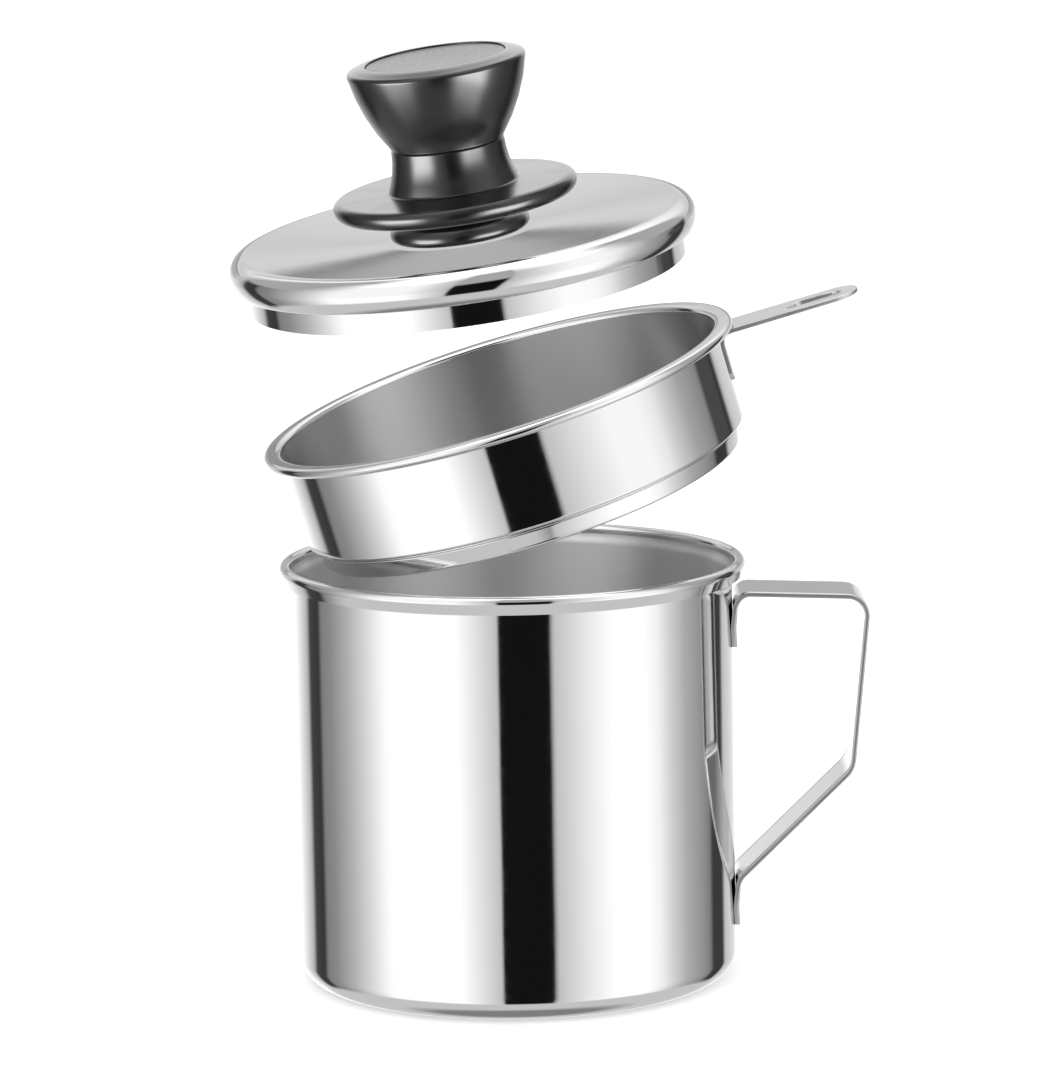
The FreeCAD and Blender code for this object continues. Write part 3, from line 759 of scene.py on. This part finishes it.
class GREASE_OT_lid(bpy.types.Operator):
    """Build the lid's pressed disc and centring skirt"""

    bl_idname = "grease.lid"
    bl_label = "Lid"

    FLOOR_RADIUS, FLOOR_HEIGHT = 19.0, 1.9
    SLOPE = 0.05757                     # rise of the lid per radius, outside its flat middle

    def execute(self, context):
        s = sizes(context.scene.grease_lid)
        turns = context.scene.grease_studio.turns
        metal = [finish_of("mirror"), finish_of("satin")]
        under, top = self.disc_outlines(s)
        pan = turned(
            "lid_disc", under + top, LIFTED_LID, metal, "lid", ["lid_pan"], range(len(under)), turns
        )
        collar = turned(
            "lid_collar", self.skirt_outline(s), LIFTED_LID, metal, "lid", ["lid_skirt"], (), turns
        )
        for piece in (pan, collar):
            # its underside would shade the insides of the strainer and the mug
            piece.visible_glossy = False
        return {"FINISHED"}

    def disc_outlines(self, s):
        """The disc's underside and top, as (radius, height).

        A flat middle, a slope that meets the rounded edge at a tangent, and a hem curled under."""
        hole, roll, widest, hem, hem_end = 2.6, 4.3, -0.3, -4.3, 56.4
        hem_curl, fold_bend, fold_rise = 6.8, 0.756, 0.35
        curl_in, fold_in, fold_out = 1.562, 1.7, 1.063
        tangent_out, tangent_up = 0.0575, 0.9983
        edge, thick, floor = s.radius, s.sheet, self.FLOOR_HEIGHT
        centre, inner = edge - roll, roll - thick
        under = [
            (hole, floor - thick),
            (self.FLOOR_RADIUS, floor - thick),
            (centre - inner * tangent_out, inner * tangent_up + widest, -inner),
            (edge - thick, widest, thick - hem_curl),
            (edge - curl_in, hem + thick),
        ]
        top = [
            (hem_end, hem + thick),
            (hem_end, hem),
            (edge - fold_in, hem, fold_bend),
            (edge - fold_out, hem + fold_rise, hem_curl),
            (edge, widest, roll),
            (centre - roll * tangent_out, roll * tangent_up + widest),
            (self.FLOOR_RADIUS, floor),
            (hole, floor),
        ]
        return under, top

    def skirt_outline(self, s):
        """The skirt: a ring that goes down inside the strainer, and a flange along the lid's slope."""
        drop, bend, flange_end, ease = -10.3, 1.2, 48.0, 0.01
        skirt, thick = s.skirt_radius, s.sheet
        base = self.FLOOR_HEIGHT - thick - WELD_GAP
        end = base + (flange_end - self.FLOOR_RADIUS) * self.SLOPE
        shoulder = base + (skirt - bend - self.FLOOR_RADIUS) * self.SLOPE
        return [
            (skirt - thick, drop),
            (skirt, drop),
            (skirt, shoulder - bend, bend + ease),
            (skirt - bend, shoulder),
            (flange_end, end),
            (flange_end, end - thick),
            (skirt - bend, shoulder - thick, thick - bend - ease),
            (skirt - thick, shoulder - bend),
        ]


class GREASE_OT_knob(bpy.types.Operator):
    """Build the knob: foot, guard, grip and inlay; give the hidden fixings their finishes"""

    bl_idname = "grease.knob"
    bl_label = "Knob"

    def execute(self, context):
        s = sizes(context.scene.grease_lid)
        turns = context.scene.grease_studio.turns
        for node, corners in self.outlines(s.guard_radius, s.grip_radius).items():
            look = finish_of("inlay" if node == "knob_cap" else "bakelite")
            solid = "knob_guard" if node == "knob_neck" else node
            piece = turned(
                node.replace("knob", "handle"), corners, LIFTED_LID, [look], "lid", [solid], (), turns
            )
            # both are kept out of the lid's mirror, where they would darken its top
            piece.visible_glossy = node not in ("knob_foot", "knob_guard")
        fixings = {"knob_insert": "brass", "knob_screw": "screw", "screw_washer": "screw"}
        for node, key in fixings.items():
            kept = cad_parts[node]
            kept.data.materials.clear()
            kept.data.materials.append(finish_of(key))
            kept.visible_glossy = False
        return {"FINISHED"}

    def outlines(self, guard, grip):
        """Each piece's outline as (radius, height in the lid's frame).

        The neck is moulded with the guard and stands on it; the bush's pocket is in the grip."""
        hole, bush, bush_hole, bush_top = 2.6, 4.05, 3.0, 36.6
        foot, foot_low, foot_top, stem = 17.9, 1.95, 11.3, 14.6
        guard_low, guard_top, neck_foot, neck, neck_top = 9.5, 14.5, 17.2, 14.5, 25.4
        grip_top, cap, pocket = 47.5, 17.9, 45.0
        under, grip_low = foot_top + WELD_GAP, neck_top + WELD_GAP
        cap_edge = cap - WELD_GAP
        return {
            "knob_foot": [
                (hole, foot_low), (foot - 1.6, foot_low, 1.6), (foot, foot_low + 1.6, 3.0),
                (foot - 1.5, foot_low + 4.2), (stem, foot_low + 5.5), (stem, foot_top),
                (hole, foot_top),
            ],
            "knob_guard": [
                (hole, under), (guard - 6.0, under, 3.0), (guard - 3.4, guard_low + 0.5, -1.2),
                (guard - 2.5, guard_low, 2.5), (guard, guard_low + 2.5), (guard, guard_low + 2.7, 2.0),
                (guard - 2.0, guard_top - 0.3), (neck_foot, guard_top), (hole, guard_top),
            ],
            "knob_neck": [
                (hole, guard_top - 0.2), (neck_foot, guard_top - 0.2), (neck_foot, guard_top, -0.8),
                (neck_foot - 0.7, guard_top + 0.7, -25.0), (neck, neck_top - 0.4, 0.4),
                (neck - 0.4, neck_top), (hole, neck_top),
            ],
            "knob_grip": [
                (bush, grip_low), (neck - 0.4, grip_low, 0.4), (neck, grip_low + 0.4, 46.0),
                (grip, grip_top - 2.2, 1.2), (grip - 1.05, grip_top - 0.9, 12.0),
                (cap + 0.3, grip_top, 0.3), (cap, grip_top - 0.3), (cap, pocket),
                (bush_hole, pocket), (bush_hole, bush_top), (bush, bush_top - WELD_GAP),
            ],
            "knob_cap": [
                (0, pocket + WELD_GAP), (cap_edge, pocket + WELD_GAP), (cap_edge, grip_top - 0.7, 0.3),
                (cap_edge - 0.3, grip_top - 0.4, -252.0), (0, grip_top - 1.0),
            ],
        }


# ---------------------------------------------------------------- studio

# degrees round from the lens towards +X, and the brightness there
AZIMUTH_LEVELS = [
    (-180, 1.0), (-158, 0.9), (-146, 0.66), (-137, 0.45), (-132, 0.05), (-122, 0.035),
    (-118.5, 0.2), (-110, 0.24), (-95, 0.42), (-82, 0.66), (-70, 0.95), (-64, 1.0), (-30, 1.0),
    (-18, 0.72), (-7.9, 0.5), (-7.3, 0.006), (19.3, 0.006), (19.9, 0.5), (29, 0.64), (40, 0.82),
    (53, 1.0), (70, 1.0), (80, 0.86), (88, 0.62), (100, 0.39), (115, 0.26), (121, 0.19),
    (124.5, 0.04), (137, 0.04), (141, 0.5), (160, 0.66), (180, 1.0),
]
# degrees above level, and the brightness there, in front and behind
FRONT_LEVELS = [(-90, 1.0), (-11, 1.0), (-4, 0.9), (44, 0.9), (60, 1.4), (90, 1.6)]
REAR_LEVELS = [
    (-90, 0.5), (-20, 0.6), (2, 0.6), (5, 0.38), (12.5, 0.38), (13.6, 0.2), (14.3, 0.2),
    (15.4, 0.56), (17, 0.58), (19, 0.52), (24, 0.64), (34, 0.8), (50, 1.0), (90, 1.6),
]
BEHIND = (140, 150)                     # degrees from the lens over which the rear takes over

# the same for the knob's own lamps: two wide boxes beside the lens and a low one behind
KNOB_AZIMUTHS = [
    (-180, 0.0), (-84, 0.0), (-72, 1.0), (-42, 1.0), (-28, 0.0), (22, 0.0), (34, 1.0), (66, 1.0),
    (78, 0.0), (180, 0.0),
]
KNOB_HEIGHTS = [
    (-90, 0.0), (-60, 0.0), (-46, 0.1), (-35, 0.32), (-27, 0.32), (-22, 1.0), (-4, 1.0), (7, 0.15),
    (14, 0.0), (90, 0.0),
]
KNOB_STRENGTH, KNOB_BEHIND = 14.0, 1.1
KNOB_PIECES = ("handle_foot", "handle_guard", "handle_neck", "handle_grip", "handle_cap")

# metres
DOME_RADIUS, LAMP_RADIUS, DOME_HEIGHT = 2.6, 2.5, 0.12
FLOOR_HALF, FLOOR_LEVEL = 3.0, -0.0002

# the lens in pixels of a picture this high, and the camera's place and aim in millimetres
PICTURE_HEIGHT, LENS_PIXELS, SENSOR = 1080, 5444.5, 36.0
CAMERA_PLACE, CAMERA_AIM, CAMERA_ROLL = (3.47, -1382.88, 338.27), (3.47, 0.0, 113.67), -0.958


def between(low, high):
    """The limits of a range of angles in degrees, for a node that works in radians."""
    return {"From Min": math.radians(low), "From Max": math.radians(high)}


class GREASE_OT_studio(bpy.types.Operator):
    """Set up the floor, backdrop, lights, reflection dome and camera"""

    bl_idname = "grease.studio"
    bl_label = "Studio"

    def execute(self, context):
        scene = context.scene
        self.floor()
        self.dome(scene.grease_studio.cards)
        self.knob_lamps()
        self.world(scene)
        self.camera(scene)
        scene.view_settings.view_transform = "Standard"
        return {"FINISHED"}

    def floor(self):
        """A square sheet of paper just under the mug's base."""
        mesh = bpy.data.meshes.new("floor")
        across = np.array([(-1, -1), (1, -1), (1, 1), (-1, 1)]) * FLOOR_HALF
        points = np.column_stack([across, np.full(len(across), FLOOR_LEVEL)])
        mesh.from_pydata(points.tolist(), [], [[0, 1, 2, 3]])
        floor = bpy.data.objects.new("floor", mesh)
        material, tree = new_material("floor, pale paper")
        shader = tree.nodes["Principled BSDF"]
        shader.inputs["Base Color"].default_value = shade("fafafa")
        shader.inputs["Roughness"].default_value = 0.9
        # its own faint glow brings the paper up to white and keeps the shadow
        shader.inputs["Emission Color"].default_value = shade("ffffff")
        shader.inputs["Emission Strength"].default_value = 0.35
        mesh.materials.append(material)
        floor.visible_glossy = False
        bpy.context.scene.collection.objects.link(floor)

    def shell(self, name, look, radius):
        """A sphere seen only in reflections, with a material that is laid out by angle.

        Point (row, col) has the rise pi (row / rows - 1/2) and the turn 2 pi col / cols."""
        rows, cols = 48, 96
        rise = math.pi * (np.arange(rows + 1)[:, None] / rows - 0.5)
        turn = 2 * math.pi * np.arange(cols) / cols
        flat, height = np.cos(rise) * radius, np.sin(rise) * radius + DOME_HEIGHT
        points = np.stack([flat * np.cos(turn), flat * np.sin(turn), height + 0 * turn], -1)
        mesh = bpy.data.meshes.new(name)
        faces = grid_faces(rows + 1, cols)[:, ::-1]
        mesh.from_pydata(points.reshape(-1, 3).tolist(), [], faces.tolist())
        mesh.materials.append(look)
        shell = bpy.data.objects.new(name, mesh)
        shell.visible_camera = False
        shell.visible_diffuse = False
        shell.visible_shadow = False
        bpy.context.scene.collection.objects.link(shell)
        return shell

    def angles(self, tree, radius):
        """Turn from the lens and rise above level of a point on a shell, in radians."""
        spot = add_node(tree, "TexCoord").outputs["Object"]
        centred = add_node(tree, "VectorMath", {0: spot, 1: (0, 0, -DOME_HEIGHT)}, operation="ADD")
        parts = add_node(tree, "SeparateXYZ", {0: centred.outputs[0]}).outputs
        ahead = add_node(tree, "Math", {0: parts["Y"], 1: -1.0}, operation="MULTIPLY")
        turn = add_node(tree, "Math", {0: parts["X"], 1: ahead.outputs[0]}, operation="ARCTAN2")
        height = add_node(tree, "Math", {0: parts["Z"], 1: 1 / radius}, operation="MULTIPLY")
        rise = add_node(tree, "Math", {0: height.outputs[0]}, operation="ARCSINE")
        return turn.outputs[0], rise.outputs[0]

    def ramp(self, tree, angle, limit, stops):
        """Brightness along an angle from -limit to limit degrees, with a stop for every
        (degrees, level)."""
        share = add_node(tree, "MapRange", {"Value": angle, **between(-limit, limit)})
        item = add_node(tree, "ValToRGB", {"Fac": share.outputs[0]})
        marks = item.color_ramp.elements
        while len(marks) < len(stops):
            marks.new(0.5)
        for mark, (place, level) in zip(marks, sorted(stops)):
            mark.position = (place + limit) / (2 * limit)
            mark.color = (level, level, level, 1)
        return item.outputs["Color"]

    def card(self, tree, levels, angles, middle, reach, fade, level):
        """The levels with a small card over them: middle, reach to each side and fade past it are
        pairs of turn and rise in degrees, and level is the card's own brightness."""
        outside = []
        for angle, at, half, soft in zip(angles, middle, reach, fade):
            off = add_node(tree, "Math", {0: angle, 1: math.radians(at)}, operation="SUBTRACT")
            off = add_node(tree, "Math", {0: off.outputs[0]}, operation="ABSOLUTE")
            past = add_node(tree, "MapRange", {"Value": off.outputs[0], **between(half, half + soft)})
            outside.append(past.outputs[0])
        clear = add_node(tree, "Math", {0: outside[0], 1: outside[1]}, operation="MAXIMUM")
        mix = add_node(tree, "Mix", {0: clear.outputs[0], 2: level, 3: levels}, data_type="FLOAT")
        return mix.outputs[0]

    def behind(self, tree, turn, rise, start, full, most=1.0):
        """From 0 in front to most behind the part, fading in from start to full degrees of rise."""
        away = add_node(tree, "Math", {0: turn}, operation="ABSOLUTE")
        rear = add_node(tree, "MapRange", {"Value": away.outputs[0], **between(*BEHIND)})
        high = add_node(tree, "MapRange", {"Value": rise, **between(start, full), "To Max": most})
        both = add_node(tree, "Math", {0: rear.outputs[0], 1: high.outputs[0]}, operation="MULTIPLY")
        return both.outputs[0]

    def dome(self, level):
        """Reflection dome: white and black cards round the steel."""
        material, tree = new_material("studio cards")
        tree.nodes.clear()
        turn, rise = self.angles(tree, DOME_RADIUS)
        around = self.ramp(tree, turn, 180, AZIMUTH_LEVELS)
        front = self.ramp(tree, rise, 90, FRONT_LEVELS)
        cards = add_node(tree, "Math", {0: around, 1: front}, operation="MULTIPLY").outputs[0]
        # soft light from above keeps the flat tops grey where the dark cards end
        fill = add_node(tree, "MapRange", {"Value": rise, **between(12, 20), "To Max": 0.36}).outputs[0]
        cards = add_node(tree, "Math", {0: cards, 1: fill}, operation="MAXIMUM").outputs[0]
        # a small black card on the right, which only the strainer's wall picks up
        cards = self.card(tree, cards, (turn, rise), (126, 4), (6, 5), (3, 1), 0.06)
        # a dark table below draws the thin outlines of the rolled edges
        table = add_node(tree, "MapRange", {
            "Value": rise, **between(-70, -58), "To Min": 0.2, "To Max": 0.52,
        }).outputs[0]
        above = add_node(tree, "MapRange", {"Value": rise, **between(-35, -30)}).outputs[0]
        cards = add_node(tree, "Mix", {0: above, 2: table, 3: cards}, data_type="FLOAT").outputs[0]
        # a dark card behind on the left, for the strap's mirror image in the mug's wall
        rear = self.ramp(tree, rise, 90, REAR_LEVELS)
        grey = add_node(tree, "MapRange", {
            "Value": rise, **between(36, 49), "To Min": 0.5, "To Max": 0.16,
        }).outputs[0]
        rear = self.card(tree, rear, (turn, rise), (-164, 43), (8, 15), (2, 3), grey)
        part = self.behind(tree, turn, rise, -4, 2)
        both = add_node(tree, "Mix", {0: part, 2: cards, 3: rear}, data_type="FLOAT").outputs[0]
        # one even light overhead, where all the cards would meet in a point
        top = add_node(tree, "MapRange", {"Value": rise, **between(62, 76)}).outputs[0]
        both = add_node(tree, "Mix", {0: top, 2: both, 3: 1.4}, data_type="FLOAT").outputs[0]
        both = add_node(tree, "Math", {0: both, 1: level}, operation="MULTIPLY").outputs[0]
        glow = add_node(tree, "Emission", {"Strength": both})
        add_node(tree, "OutputMaterial", {"Surface": glow.outputs[0]})
        self.shell("reflection_dome", material, DOME_RADIUS)

    def knob_lamps(self):
        """Lamps that are flagged off the steel and light the black knob alone."""
        material, tree = new_material("knob lamps")
        tree.nodes.clear()
        turn, rise = self.angles(tree, LAMP_RADIUS)
        hot = self.ramp(tree, turn, 180, KNOB_AZIMUTHS)
        tall = self.ramp(tree, rise, 90, KNOB_HEIGHTS)
        boxes = add_node(tree, "Math", {0: hot, 1: tall}, operation="MULTIPLY").outputs[0]
        power = add_node(tree, "Math", {0: boxes, 1: KNOB_STRENGTH}, operation="MULTIPLY").outputs[0]
        low_one = self.behind(tree, turn, rise, 2, 6, KNOB_BEHIND)
        power = add_node(tree, "Math", {0: power, 1: low_one}, operation="ADD").outputs[0]
        glow = add_node(tree, "Emission", {"Strength": power})
        # see-through, so that the dome outside still shows in the knob
        clear = add_node(tree, "BsdfTransparent")
        both = add_node(tree, "AddShader", {0: glow.outputs[0], 1: clear.outputs[0]})
        add_node(tree, "OutputMaterial", {"Surface": both.outputs[0]})
        lamps = self.shell("knob_lamps", material, LAMP_RADIUS)
        lit = bpy.data.collections.new("lit_by_knob_lamps")
        for piece in KNOB_PIECES:
            lit.objects.link(bpy.data.objects[piece])
        lamps.light_linking.receiver_collection = lit

    def world(self, scene):
        """Plain white all round, behind the part and as its even light."""
        world = bpy.data.worlds.new("studio")
        world.use_nodes = True
        scene.world = world
        background = world.node_tree.nodes["Background"]
        background.inputs["Color"].default_value = shade("ffffff")
        background.inputs["Strength"].default_value = 1.0

    def camera(self, scene):
        """A long lens in front of the part and above it, aimed near its axis and rolled slightly."""
        data = bpy.data.cameras.new("camera")
        camera = bpy.data.objects.new("camera", data)
        scene.collection.objects.link(camera)
        data.sensor_fit = "AUTO"
        data.sensor_width = SENSOR
        data.lens = LENS_PIXELS / PICTURE_HEIGHT * SENSOR
        data.clip_end = 20.0
        place, aim = Vector(CAMERA_PLACE) * MM, Vector(CAMERA_AIM) * MM
        turn = (aim - place).to_track_quat("-Z", "Y").to_matrix().to_4x4()
        roll = Matrix.Rotation(math.radians(CAMERA_ROLL), 4, "Z")
        camera.matrix_world = Matrix.Translation(place) @ turn @ roll
        scene.camera = camera


class GREASE_PT_panel(bpy.types.Panel):
    """Sizes, colours and build buttons in the sidebar"""

    bl_label = "Grease keeper"
    bl_space_type = "VIEW_3D"
    bl_region_type = "UI"
    bl_category = "Grease keeper"

    def draw(self, context):
        layout = self.layout
        for group in SETTINGS:
            settings = getattr(context.scene, group)
            box = layout.box()
            for name in settings.__annotations__:
                box.prop(settings, name)
        for name in ("mug", "strainer", "lid", "knob", "studio"):
            layout.operator(f"grease.{name}")


SETTINGS = {
    "grease_mug": MugSettings,
    "grease_strainer": StrainerSettings,
    "grease_lid": LidSettings,
    "grease_finishes": FinishSettings,
    "grease_studio": StudioSettings,
}
CLASSES = [
    *SETTINGS.values(), GREASE_OT_mug, GREASE_OT_strainer, GREASE_OT_lid, GREASE_OT_knob,
    GREASE_OT_studio, GREASE_PT_panel,
]


def register():
    """Adds the classes and gives the scene one of each settings group."""
    for item in CLASSES:
        bpy.utils.register_class(item)
    for name, group in SETTINGS.items():
        setattr(bpy.types.Scene, name, PointerProperty(type=group))


def unregister():
    """Takes away what register added."""
    for name in SETTINGS:
        delattr(bpy.types.Scene, name)
    for item in reversed(CLASSES):
        bpy.utils.unregister_class(item)


def main():
    """Builds the pieces and the studio."""
    register()
    bpy.ops.grease.mug()
    bpy.ops.grease.strainer()
    bpy.ops.grease.lid()
    bpy.ops.grease.knob()
    bpy.ops.grease.studio()


if __name__ == "__main__":
    main()
